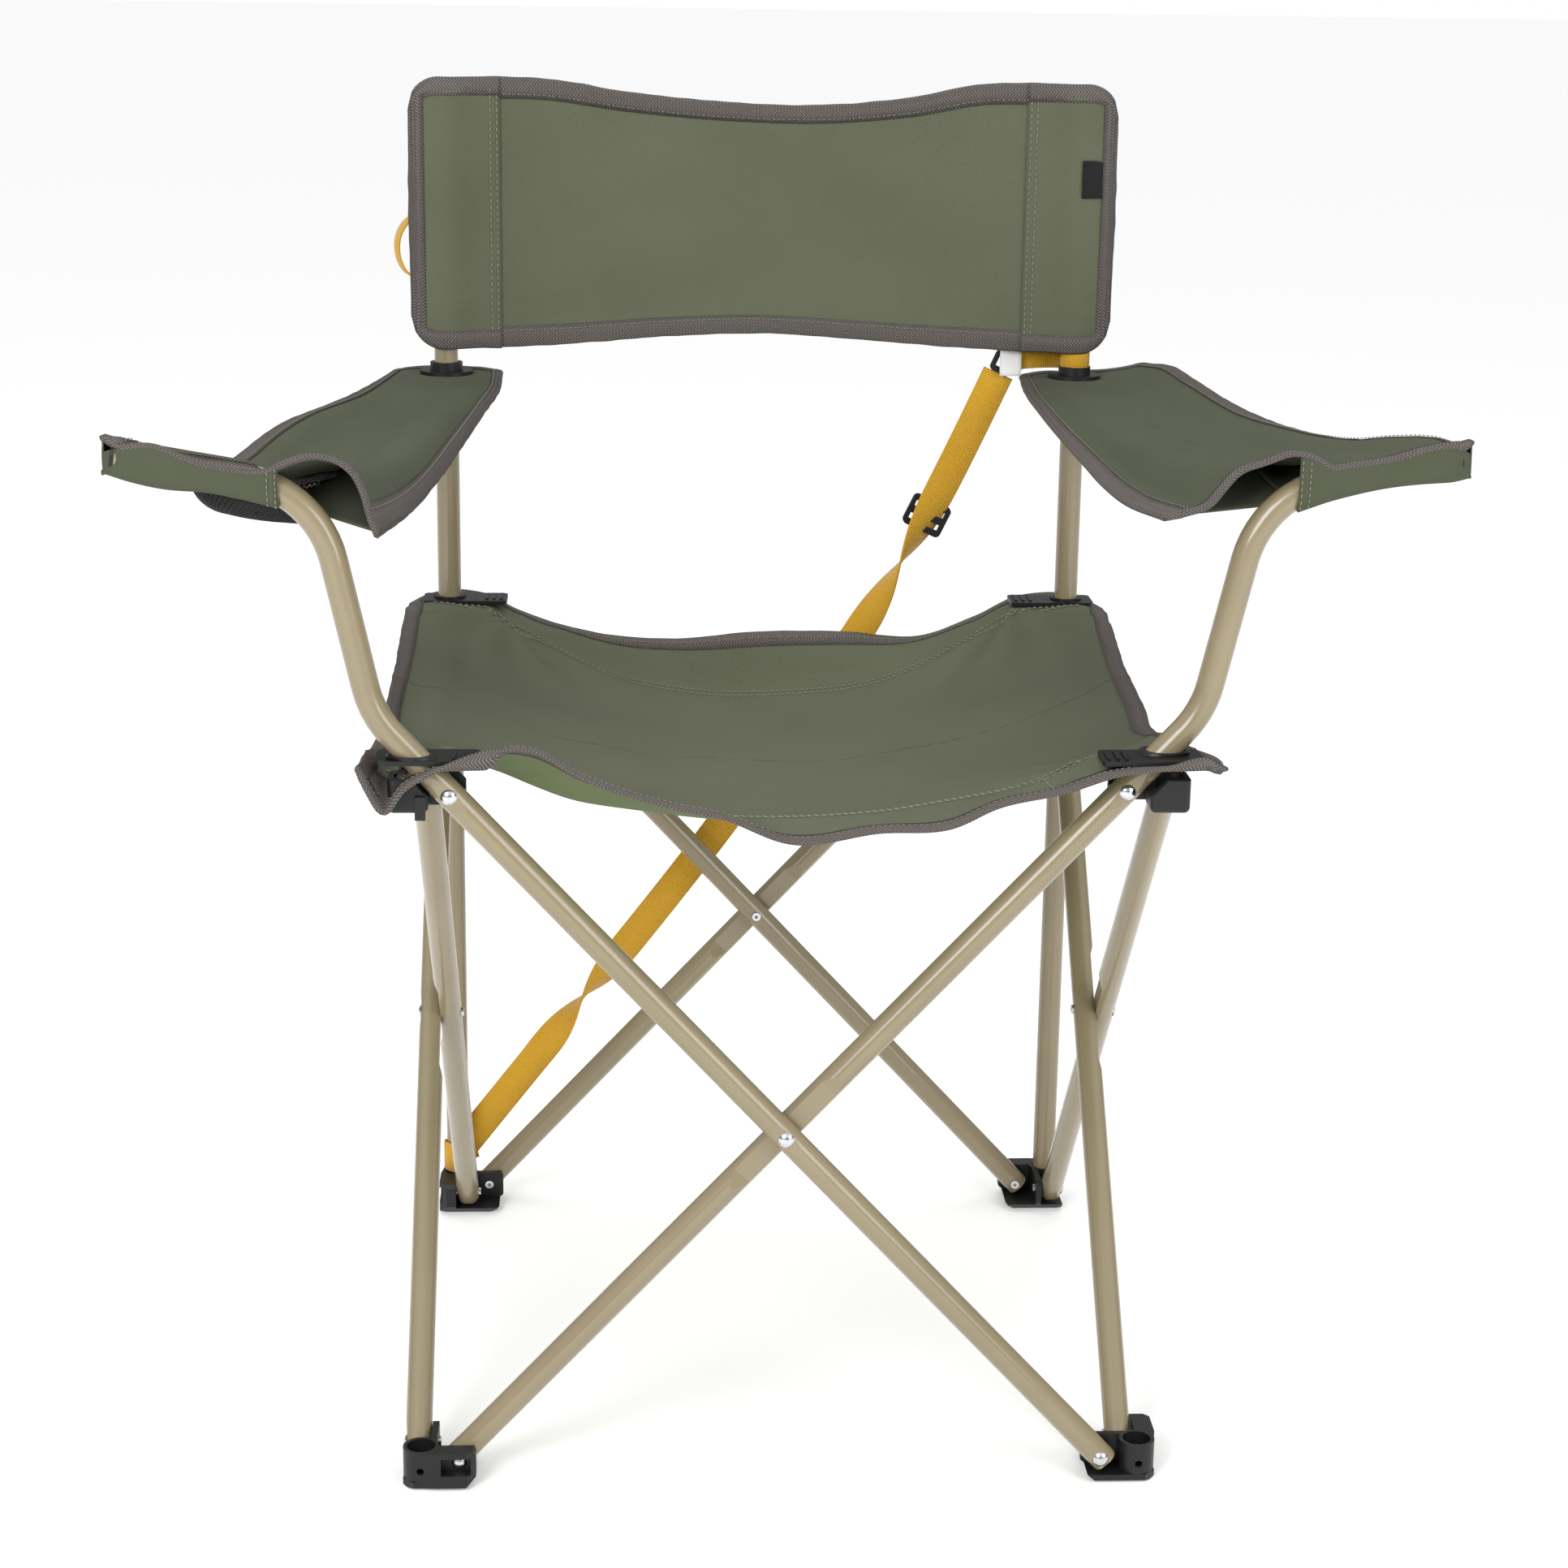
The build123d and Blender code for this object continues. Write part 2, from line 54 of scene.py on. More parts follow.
# ---------------------------------------------------------------- node helpers
def new_material(name, colour, roughness, coat=0.0, sheen=0.0, metallic=0.0, specular=0.5):
    made = bpy.data.materials.new(name)
    made.use_nodes = True
    shader = made.node_tree.nodes["Principled BSDF"]
    shader.inputs["Base Color"].default_value = (*colour, 1)
    shader.inputs["Roughness"].default_value = roughness
    shader.inputs["Coat Weight"].default_value = coat
    shader.inputs["Coat Roughness"].default_value = 0.12
    shader.inputs["Sheen Weight"].default_value = sheen
    shader.inputs["Metallic"].default_value = metallic
    shader.inputs["Specular IOR Level"].default_value = specular
    return made, made.node_tree, shader


def maths(tree, operation, first, second=None):
    node = tree.nodes.new("ShaderNodeMath")
    node.operation = operation
    for socket, value in zip(node.inputs, (first, second)):
        if value is None:
            continue
        if isinstance(value, (int, float)):
            socket.default_value = value
        else:
            tree.links.new(value, socket)
    return node.outputs[0]


def bump(tree, shader, height, strength, distance):
    node = tree.nodes.new("ShaderNodeBump")
    node.inputs["Strength"].default_value = strength
    node.inputs["Distance"].default_value = distance
    tree.links.new(height, node.inputs["Height"])
    tree.links.new(node.outputs[0], shader.inputs["Normal"])


def ramp(tree, shader, factor, low, high):
    node = tree.nodes.new("ShaderNodeMix")
    node.data_type = "RGBA"
    node.inputs[6].default_value = (*low, 1)
    node.inputs[7].default_value = (*high, 1)
    tree.links.new(factor, node.inputs[0])
    tree.links.new(node.outputs[2], shader.inputs["Base Color"])


def noise_field(tree, source, scale, detail=2.0):
    coordinates = tree.nodes.new("ShaderNodeTexCoord")
    node = tree.nodes.new("ShaderNodeTexNoise")
    node.inputs["Scale"].default_value = scale
    node.inputs["Detail"].default_value = detail
    tree.links.new(coordinates.outputs[source], node.inputs["Vector"])
    return node.outputs[0]


def lengths_on_cloth(tree):
    """Distances along and across a piece, in metres, from its UV map."""
    coordinates = tree.nodes.new("ShaderNodeTexCoord")
    parts = tree.nodes.new("ShaderNodeSeparateXYZ")
    tree.links.new(coordinates.outputs["UV"], parts.inputs[0])
    return parts.outputs[0], parts.outputs[1]


def woven(name, low, high, pitch, roughness=0.9, sheen=0.03):
    """Plain-woven cloth: threads over and under at that pitch, with faint uneven patches."""
    made, tree, shader = new_material(name, high, roughness, sheen=sheen, specular=0.08)
    u, v = lengths_on_cloth(tree)
    turn = 2 * math.pi / pitch
    over = maths(tree, "SINE", maths(tree, "MULTIPLY", u, turn))
    under = maths(tree, "SINE", maths(tree, "MULTIPLY", v, turn))
    weave = maths(tree, "MULTIPLY", over, under)
    patches = noise_field(tree, "Object", 9.0, 4.0)
    threads = noise_field(tree, "UV", 900.0, 1.0)
    mixed = maths(tree, "MULTIPLY_ADD", weave, 0.16)
    tree.links.new(maths(tree, "MULTIPLY_ADD", patches, 0.8), mixed.node.inputs[2])
    grain = maths(tree, "ADD", mixed, maths(tree, "MULTIPLY", threads, 0.35))
    ramp(tree, shader, maths(tree, "SUBTRACT", grain, 0.17), low, high)
    bump(tree, shader, weave, 0.35, 0.0004)
    return made


def herringbone(name, low, high, pitch):
    """Binding tape: slanted ribs that turn back along its middle."""
    made, tree, shader = new_material(name, high, 0.92, sheen=0.03, specular=0.1)
    u, v = lengths_on_cloth(tree)
    zigzag = maths(tree, "PINGPONG", v, pitch * 1.6)
    slant = maths(tree, "ADD", u, zigzag)
    ribs = maths(tree, "SINE", maths(tree, "MULTIPLY", slant, 2 * math.pi / pitch))
    patches = noise_field(tree, "Object", 40.0, 3.0)
    ramp(tree, shader, maths(tree, "MULTIPLY_ADD", ribs, 0.5), low, high)
    shader.inputs["Base Color"].links[0].from_node.inputs[0].links[0].from_node.inputs[2].default_value = 0.5
    both = maths(tree, "ADD", ribs, patches)
    bump(tree, shader, both, 0.9, 0.0006)
    return made


def ribbed(name, low, high, pitch):
    """Webbing with ribs across it."""
    made, tree, shader = new_material(name, high, 0.75, sheen=0.2, specular=0.3)
    u, v = lengths_on_cloth(tree)
    across = maths(tree, "SINE", maths(tree, "MULTIPLY", u, 2 * math.pi / pitch))
    along = maths(tree, "SINE", maths(tree, "MULTIPLY", v, 2 * math.pi / (pitch * 1.4)))
    ribs = maths(tree, "MULTIPLY_ADD", along, 0.35)
    tree.links.new(across, ribs.node.inputs[2])
    factor = maths(tree, "MULTIPLY_ADD", ribs, 0.25)
    factor.node.inputs[2].default_value = 0.6
    ramp(tree, shader, factor, low, high)
    bump(tree, shader, ribs, 0.5, 0.0004)
    return made


def coated(name, colour, roughness, coat, grain, strength, metallic=0.0, specular=0.5):
    made, tree, shader = new_material(name, colour, roughness, coat, metallic=metallic, specular=specular)
    field = noise_field(tree, "Object", grain, 2.0)
    slow = noise_field(tree, "Object", 14.0, 3.0)
    darker = tuple(0.86 * c for c in colour)
    ramp(tree, shader, slow, darker, tuple(min(1.0, 1.1 * c) for c in colour))
    bump(tree, shader, field, strength, 0.0003)
    return made


TUBE = coated("tube paint", (0.25, 0.205, 0.12), 0.26, 0.5, 260, 0.04, specular=0.4)
PLASTIC = coated("black plastic", (0.009, 0.009, 0.01), 0.42, 0.0, 900, 0.25, specular=0.35)
ZINC = coated("zinc", (0.62, 0.64, 0.66), 0.22, 0.0, 120, 0.08, metallic=1.0)
CLOTH_GREEN = woven("olive cloth", (0.066, 0.074, 0.041), (0.118, 0.127, 0.083), 0.0011)
# A darker copy of the olive cloth for the armrests: painted shade, standing in for the shade that falls on the same
# cloth there.
CLOTH_ARM_PAINTED_SHADE = woven("olive cloth with painted shade", (0.042, 0.05, 0.028), (0.078, 0.087, 0.056), 0.0011)
CLOTH_BACK = woven("olive cloth inside", (0.075, 0.1, 0.043), (0.12, 0.15, 0.07), 0.0011, 0.6)
TAPE = herringbone("grey tape", (0.075, 0.066, 0.06), (0.235, 0.21, 0.195), 0.0021)
WEBBING = ribbed("mustard webbing", (0.42, 0.21, 0.008), (0.7, 0.39, 0.022), 0.0014)
THREAD = coated("thread", (0.2, 0.21, 0.15), 0.8, 0.0, 400, 0.1)
NET = coated("black net", (0.01, 0.01, 0.011), 0.6, 0.0, 700, 0.2)
LABEL = woven("black label", (0.006, 0.006, 0.007), (0.016, 0.016, 0.017), 0.0006, 0.55)
CARE = woven("white label", (0.6, 0.61, 0.6), (0.78, 0.79, 0.78), 0.0006, 0.6)

finishes = {
    "tube_paint": TUBE,
    "black_plastic": PLASTIC,
    "zinc": ZINC,
    "seat_cloth": CLOTH_GREEN,
    "strap_webbing": WEBBING,
    "mesh_net": NET,
}
for part in frame["record"]["subparts"]:
    node = frame["nodes"][part["node"]]
    node.data.materials.clear()
    node.data.materials.append(finishes[part["material_slot"]])


# ---------------------------------------------------------------- shape helpers
class Line:
    """A smooth line through points given in millimetres."""

    def __init__(self, *points):
        self.points = np.array(points, float)
        steps = np.linalg.norm(np.diff(self.points, axis=0), axis=1)
        self.at = np.concatenate([[0], np.cumsum(steps)]) / steps.sum()
        self.length = steps.sum()
        slopes = np.diff(self.points, axis=0) / np.diff(self.at)[:, None]
        gap = np.diff(self.at)
        middle = (slopes[:-1] * gap[1:, None] + slopes[1:] * gap[:-1, None]) / (gap[1:] + gap[:-1])[:, None]
        self.slope = np.vstack([slopes[:1], middle, slopes[-1:]])

    def __call__(self, t):
        t = np.clip(np.asarray(t, float), 0, 1)
        i = np.clip(np.searchsorted(self.at, t, side="right") - 1, 0, len(self.at) - 2)
        gap = self.at[i + 1] - self.at[i]
        s = ((t - self.at[i]) / gap)[..., None]
        gap = gap[..., None]
        a, b = self.points[i], self.points[i + 1]
        m, n = self.slope[i] * gap, self.slope[i + 1] * gap
        return (
            (2 * s**3 - 3 * s**2 + 1) * a
            + (s**3 - 2 * s**2 + s) * m
            + (3 * s**2 - 2 * s**3) * b
            + (s**3 - s**2) * n
        )


def smooth(t):
    t = np.clip(t, 0, 1)
    return t * t * (3 - 2 * t)


def coons(front, rear, left, right):
    """A sheet that fills four edge lines. Front and rear run along u, left and right along v."""
    corners = front(0), front(1), rear(0), rear(1)

    def surface(u, v):
        a, b, c, d = front(u), rear(u), left(v), right(v)
        u, v = u[..., None], v[..., None]
        flat = (1 - u) * (1 - v) * corners[0] + u * (1 - v) * corners[1]
        flat = flat + (1 - u) * v * corners[2] + u * v * corners[3]
        return (1 - v) * a + v * b + (1 - u) * c + u * d - flat

    return surface


def loft(*lines):
    """A sheet that passes through lines, each one along u, in order along v."""

    def surface(u, v):
        shape = np.broadcast(u, v).shape
        u, v = np.broadcast_to(u, shape).ravel(), np.broadcast_to(v, shape).ravel()
        rows = np.array([line(u) for line in lines])
        place = v * (len(lines) - 1)
        i = np.clip(place.astype(int), 0, len(lines) - 2)
        s = (place - i)[:, None]
        k = np.arange(len(u))
        before, a = rows[np.maximum(i - 1, 0), k], rows[i, k]
        b, after = rows[i + 1, k], rows[np.minimum(i + 2, len(lines) - 1), k]
        m, n = (b - before) / 2, (after - a) / 2
        made = (2 * s**3 - 3 * s**2 + 1) * a + (s**3 - 2 * s**2 + s) * m
        made = made + (3 * s**2 - 2 * s**3) * b + (s**3 - s**2) * n
        return made.reshape(*shape, 3)

    return surface


def crumple(points, scale, depth, seed):
    """Small uneven waves, along z only, as in a hanging cloth."""
    shifts = [noise.noise(Vector((p[0] / scale + seed, p[1] / scale, p[2] / scale))) for p in points.reshape(-1, 3)]
    return np.array(shifts).reshape(points.shape[:-1]) * depth


def new_object(name, points, faces, materials, uv=None, indices=None):
    """A mesh object from millimetre points in the leg square's frame."""
    data = bpy.data.meshes.new(name)
    placed = (np.asarray(points, float).reshape(-1, 3) + SHIFT) * 0.001
    data.from_pydata(placed.tolist(), [], [tuple(f) for f in faces])
    for m in materials:
        data.materials.append(m)
    data.polygons.foreach_set("use_smooth", [True] * len(data.polygons))
    if uv is not None:
        layer = data.uv_layers.new(name="UVMap")
        order = np.zeros(len(data.loops), int)
        data.loops.foreach_get("vertex_index", order)
        layer.data.foreach_set("uv", np.asarray(uv, float).reshape(-1, 2)[order].ravel())
    if indices is not None:
        data.polygons.foreach_set("material_index", indices)
    data.validate()
    made = bpy.data.objects.new(name, data)
    bpy.context.scene.collection.objects.link(made)
    return made


def grid_faces(rows, columns, closed=False):
    faces = []
    last = columns if closed else columns - 1
    for i in range(rows - 1):
        for j in range(last):
            k = (j + 1) % columns
            faces.append((i * columns + j, i * columns + k, (i + 1) * columns + k, (i + 1) * columns + j))
    return faces


def extent(surface):
    t = np.linspace(0, 1, 30)
    half = np.full_like(t, 0.5)
    across = np.linalg.norm(np.diff(surface(t, half), axis=0), axis=1).sum()
    along = np.linalg.norm(np.diff(surface(half, t), axis=0), axis=1).sum()
    return across, along


def cloth(name, surface, spacing=4.0, u_span=(0, 1), v_span=(0, 1), flip=False, hole=None, under=None, over=None):
    """A sheet of cloth over the surface, thick downwards from its shown side."""
    wide, deep = extent(surface)
    nu = max(4, int(wide * (u_span[1] - u_span[0]) / spacing))
    nv = max(4, int(deep * (v_span[1] - v_span[0]) / spacing))
    u, v = np.meshgrid(np.linspace(*u_span, nu), np.linspace(*v_span, nv))
    points = surface(u, v)
    uv = np.stack([u * wide, v * deep], -1) * 0.001
    faces = grid_faces(nv, nu)
    if hole is not None:
        centre, radius = np.array(hole[:2]), hole[2]
        flat = points.reshape(-1, 3)
        off = flat[:, :2] - centre
        far = np.linalg.norm(off, axis=1)
        near = np.abs(far - radius) < spacing * 0.55
        flat[near, :2] = centre + off[near] / far[near, None] * radius
        faces = [f for f in faces if np.linalg.norm(flat[list(f), :2].mean(0) - centre) > radius]
    if flip:
        faces = [tuple(reversed(f)) for f in faces]
    made = new_object(name, points, faces, [over or CLOTH_GREEN, under or CLOTH_BACK], uv)
    thick = made.modifiers.new("thickness", "SOLIDIFY")
    thick.thickness = CLOTH
    thick.offset = -1
    thick.material_offset = 1
    return made


def tube_of_rings(name, rings, materials, caps=True):
    """A closed skin through rings of points."""
    rings = np.asarray(rings, float)
    count, around = rings.shape[:2]
    faces = grid_faces(count, around, closed=True)
    if caps:
        faces.append(tuple(range(around - 1, -1, -1)))
        faces.append(tuple((count - 1) * around + k for k in range(around)))
    along = np.concatenate([[0], np.cumsum(np.linalg.norm(np.diff(rings.mean(1), axis=0), axis=1))])
    girth = np.linalg.norm(np.diff(np.concatenate([rings[0], rings[0][:1]]), axis=0), axis=1)
    around_at = np.concatenate([[0], np.cumsum(girth)[:-1]])
    uv = np.stack(np.meshgrid(around_at, along), -1)[..., ::-1] * 0.001
    return new_object(name, rings, faces, materials, uv)


def unit(vectors):
    return vectors / np.maximum(np.linalg.norm(vectors, axis=-1, keepdims=True), 1e-9)


def binding(name, surface, edge, width=12.0, span=(0, 1), flip=False, material=None, lift=0.75, seed=0.0):
    """Tape folded over one edge of a surface: front and rear are v 0 and 1, left and right are u 0 and 1."""
    wide, deep = extent(surface)
    run = wide if edge in ("front", "rear") else deep
    count = max(12, int(run * (span[1] - span[0]) / 2.5))
    s = np.linspace(*span, count)
    share = width / (deep if edge in ("front", "rear") else wide)

    def inset(t):
        level = np.full_like(s, t if edge in ("front", "left") else 1 - t)
        return surface(s, level) if edge in ("front", "rear") else surface(level, s)

    outer, half, inner = inset(0), inset(share / 2), inset(share)
    along = unit(np.gradient(outer, axis=0))
    away = unit(outer - half)
    up = unit(np.cross(along, away))
    if edge in ("front", "right"):
        up = -up
    if flip:
        up = -up
    wave = np.array([noise.noise(Vector((x, seed, 0.3))) for x in s * run / 14.0])[:, None]
    top = lift + 0.35 * wave
    low = lift + CLOTH * 1000
    ring = [
        inner + up * top * 0.75,
        half + up * top * 1.3,
        outer + up * top + away * 0.2,
        outer - up * 0.5 + away * (1.5 + 0.5 * wave),
        outer - up * low + away * 0.2,
        half - up * low * 1.15,
        inner - up * low * 0.85,
        inner - up * 0.4 + away * 0.6,
    ]
    return tube_of_rings(name, np.stack(ring, 1), [material or TAPE])


def ribbon(name, points, side, width, thick, material):
    """Flat webbing along points, with side pointing across it at each one."""
    points, side = np.asarray(points, float), unit(np.asarray(side, float))
    along = unit(np.gradient(points, axis=0))
    side = unit(side - (side * along).sum(-1, keepdims=True) * along)
    up = np.cross(along, side)
    w, t = width / 2, thick / 2
    section = [(-w, 0), (-w + t * 0.7, t), (0, t), (w - t * 0.7, t), (w, 0), (w - t * 0.7, -t), (0, -t), (-w + t * 0.7, -t)]
    ring = [points + side * x + up * y for x, y in section]
    return tube_of_rings(name, np.stack(ring, 1), [material])


def stitches(name, surface, path, height=0.5, pitch=4.2, size=0.5, flip=False, material=None):
    """A row of stitches on a surface, along the (u, v) path from 0 to 1."""
    t = np.linspace(0, 1, 400)
    u, v = path(t)
    line = surface(u, v)
    run = np.concatenate([[0], np.cumsum(np.linalg.norm(np.diff(line, axis=0), axis=1))])
    e = 1e-3
    across = np.cross(surface(np.clip(u + e, 0, 1), v) - surface(np.clip(u - e, 0, 1), v),
                      surface(u, np.clip(v + e, 0, 1)) - surface(u, np.clip(v - e, 0, 1)))
    up_line = unit(across) * (-1 if flip else 1)
    points, faces = [], []
    count = max(1, int(run[-1] / pitch))
    step = run[-1] / count
    for i in range(count):
        spots = np.array([0.1, 0.25, 0.65, 0.8]) * step + i * step
        middle = np.stack([np.interp(spots, run, line[:, k]) for k in range(3)], -1)
        up = unit(np.stack([np.interp(spots, run, up_line[:, k]) for k in range(3)], -1))
        along = unit(middle[-1:] - middle[:1])
        side = np.cross(along, up)
        start = len(points)
        for k in range(4):
            radius = size if k in (1, 2) else size * 0.3
            rise = height if k in (1, 2) else height - size
            for a in range(5):
                angle = 2 * math.pi * a / 5
                turned = side[k] * math.cos(angle) * radius + up[k] * (math.sin(angle) * radius + rise)
                points.append(middle[k] + turned)
        for k in range(3):
            for a in range(5):
                b = (a + 1) % 5
                faces.append((start + k * 5 + a, start + k * 5 + b, start + k * 5 + 5 + b, start + k * 5 + 5 + a))
        faces.append(tuple(start + a for a in range(4, -1, -1)))
        faces.append(tuple(start + 15 + a for a in range(5)))
    return new_object(name, points, faces, [material or THREAD])


pieces_made = []


def attach(obj, body, stands_for=(), fold=None):
    """The piece rides on a body; given fold, as (axis, anchor, keep), it gets a mesh of its own."""
    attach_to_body(obj, body)
    if stands_for:
        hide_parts(*stands_for)
    if fold is not None:
        axis, anchor, keep = fold
        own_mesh(obj)
        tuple(axis)
        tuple(anchor)
    pieces_made.append(obj)
    return obj


# ---------------------------------------------------------------- camera, floor and light
def radians(degrees):
    return math.radians(degrees)


YAW, PITCH, ROLL = radians(-3.083), radians(15.346), radians(0.835)
forward = Vector((-math.sin(YAW) * math.cos(PITCH), math.cos(YAW) * math.cos(PITCH), -math.sin(PITCH)))
level = Vector((math.cos(YAW), math.sin(YAW), 0))
upward = level.cross(forward)
right = level * math.cos(ROLL) + upward * math.sin(ROLL)
above = upward * math.cos(ROLL) - level * math.sin(ROLL)
camera = bpy.data.objects.new("camera", bpy.data.cameras.new("camera"))
camera.data.lens = 70.68
camera.data.sensor_width = 36
camera.matrix_world = Matrix.Translation((-0.0946, -1.9005, 0.8976)) @ Matrix((right, above, -forward)).transposed().to_4x4()
bpy.context.scene.collection.objects.link(camera)
bpy.context.scene.camera = camera

floor_data = bpy.data.meshes.new("floor")
reach = 40
floor_data.from_pydata([(-reach, -reach, 0), (reach, -reach, 0), (reach, reach, 0), (-reach, reach, 0)], [], [(0, 1, 2, 3)])
floor = bpy.data.objects.new("floor", floor_data)
floor_paint, floor_tree, floor_shader = new_material("floor", (0.93, 0.93, 0.93), 0.7, specular=0.2)
floor_shader.inputs["Emission Color"].default_value = (1, 1, 1, 1)
floor_shader.inputs["Emission Strength"].default_value = 0.18
floor_data.materials.append(floor_paint)
bpy.context.scene.collection.objects.link(floor)
floor.location.z = -0.0002

world = bpy.data.worlds.new("studio")
world.use_nodes = True
sky = world.node_tree.nodes["Background"]
direction = world.node_tree.nodes.new("ShaderNodeTexCoord")
heights = world.node_tree.nodes.new("ShaderNodeSeparateXYZ")
brightness = world.node_tree.nodes.new("ShaderNodeValToRGB")
world.node_tree.links.new(direction.outputs["Generated"], heights.inputs[0])
world.node_tree.links.new(maths(world.node_tree, "MULTIPLY_ADD", heights.outputs[2], 0.5), brightness.inputs[0])
brightness.inputs[0].links[0].from_node.inputs[2].default_value = 0.5
stops = brightness.color_ramp.elements
stops[0].position, stops[0].color = 0.0, (1, 1, 1, 1)
stops[1].position, stops[1].color = 1.0, (1, 1, 1, 1)
for position, grey in ((0.499, 1.0), (0.505, 0.1), (0.6, 0.2), (0.78, 0.95)):
    stop = stops.new(position)
    stop.color = (grey, grey, grey, 1)
world.node_tree.links.new(brightness.outputs[0], sky.inputs[0])
sky.inputs[1].default_value = 1.0
bpy.context.scene.world = world
bpy.context.scene.view_settings.view_transform = "Standard"


def softbox(name, place, target, size, power):
    light = bpy.data.lights.new(name, "AREA")
    light.shape = "RECTANGLE"
    light.size, light.size_y = size
    light.energy = power
    made = bpy.data.objects.new(name, light)
    made.location = place
    made.rotation_mode = "QUATERNION"
    made.rotation_quaternion = (Vector(place) - Vector(target)).to_track_quat("Z", "Y")
    bpy.context.scene.collection.objects.link(made)


softbox("key", (-1.5, -2.6, 1.9), (0, 0, 0.45), (1.3, 1.6), 64)
softbox("fill", (2.0, -2.2, 1.4), (0, 0, 0.45), (1.2, 1.6), 32)
softbox("top", (0.1, 0.5, 2.9), (0, 0, 0.4), (2.2, 1.6), 12)

# ---------------------------------------------------------------- seat
HALF = 216.0
rear_hem = Line(
    (-245, 233, 443), (-232, 236, 449), (-195, 236, 450.5), (-170, 233, 439), (-122, 228, 425), (-60, 228, 419.5),
    (0, 228, 425), (60, 228, 425), (118, 228, 422.5), (152, 230, 435), (188, 236, 450), (226, 236, 449.5), (245, 233, 441),
)
front_hem = Line(
    (-243, -233, 449), (-237, -236, 436), (-229, -236, 424), (-218, -235, 437), (-201, -235, 447.5), (-172, -236, 459),
    (-148, -236, 461), (-118, -236, 445), (-68, -236, 428), (-40, -236, 422), (0, -236, 407), (50, -236, 413.5),
    (90, -236, 416), (116, -236, 428), (155, -236, 437), (183, -235, 446), (210, -235, 450), (236, -235, 455), (246, -232, 449),
)
left_side = Line((-243, -233, 449), (-240, -192, 447), (-235, -146, 446), (-238, -60, 445), (-240, 40, 445), (-243, 140, 446), (-245, 233, 443))
right_side = Line((246, -232, 449), (232, -190, 448), (221, -146, 446), (224, -70, 445), (228, 20, 444), (236, 120, 445), (245, 233, 441))
seat_frame = coons(front_hem, rear_hem, left_side, right_side)
depth_at = [(-236, 38), (-200, 38), (-100, 50), (0, 56), (100, 61), (185, 61), (228, 46)]


def seat(u, v):
    """The sling: taut at its sides and plates, hanging between, with its hems drawn tighter."""
    edge = seat_frame(u, v)
    x, y = edge[..., 0], edge[..., 1]
    depth = np.interp(y, [p[0] for p in depth_at], [p[1] for p in depth_at])
    half = 182 + 50 * smooth((205 - np.abs(y)) / 95)
    lean = 1 - np.clip(np.abs(x + 6) / half, 0, 1) ** 2.1
    sling = 448.2 - depth * lean
    near_front = 1 - smooth((y + 236) / 38)
    near_rear = 1 - smooth((231 - y) / 36)
    front_z, rear_z = front_hem_z(x), rear_hem_z(x)
    z = sling + (front_z - sling) * near_front
    z = z + (rear_z - z) * near_rear
    on_plate = smooth((46 - np.abs(np.abs(x) - 205)) / 14) * smooth((20 - np.abs(np.abs(y) - HALF)) / 5)
    z = z + (np.minimum(z, 448.4) - z) * on_plate
    side = np.clip((np.abs(x) - 200) / 40, 0, 1)
    z = z + (edge[..., 2] - z) * side * (1 - np.maximum(near_front, near_rear)) * 0.8
    still = np.maximum(on_plate, np.maximum(near_front, near_rear))
    folds = crumple(np.stack([x, y * 0.5, z * 0], -1), 58, 3.2, 4.0)
    rays = 0.0
    for cx, cy in ((-178, 200), (178, 200), (-178, -200), (178, -200)):
        off_x, off_y = x - cx, y - cy
        far = np.hypot(off_x, off_y)
        angle = np.arctan2(off_y, off_x)
        rays = rays + 2.1 * np.sin(angle * 9 + cx * 0.01) * np.exp(-((far - 45) / 45) ** 2)
    z = z + (folds + rays) * (1 - still)
    made = edge.copy()
    made[..., 2] = z
    return made


def hem_height(line):
    t = np.linspace(0, 1, 400)
    points = line(t)
    order = np.argsort(points[:, 0])
    return lambda x: np.interp(x, points[order, 0], points[order, 2])


front_hem_z, rear_hem_z = hem_height(front_hem), hem_height(rear_hem)

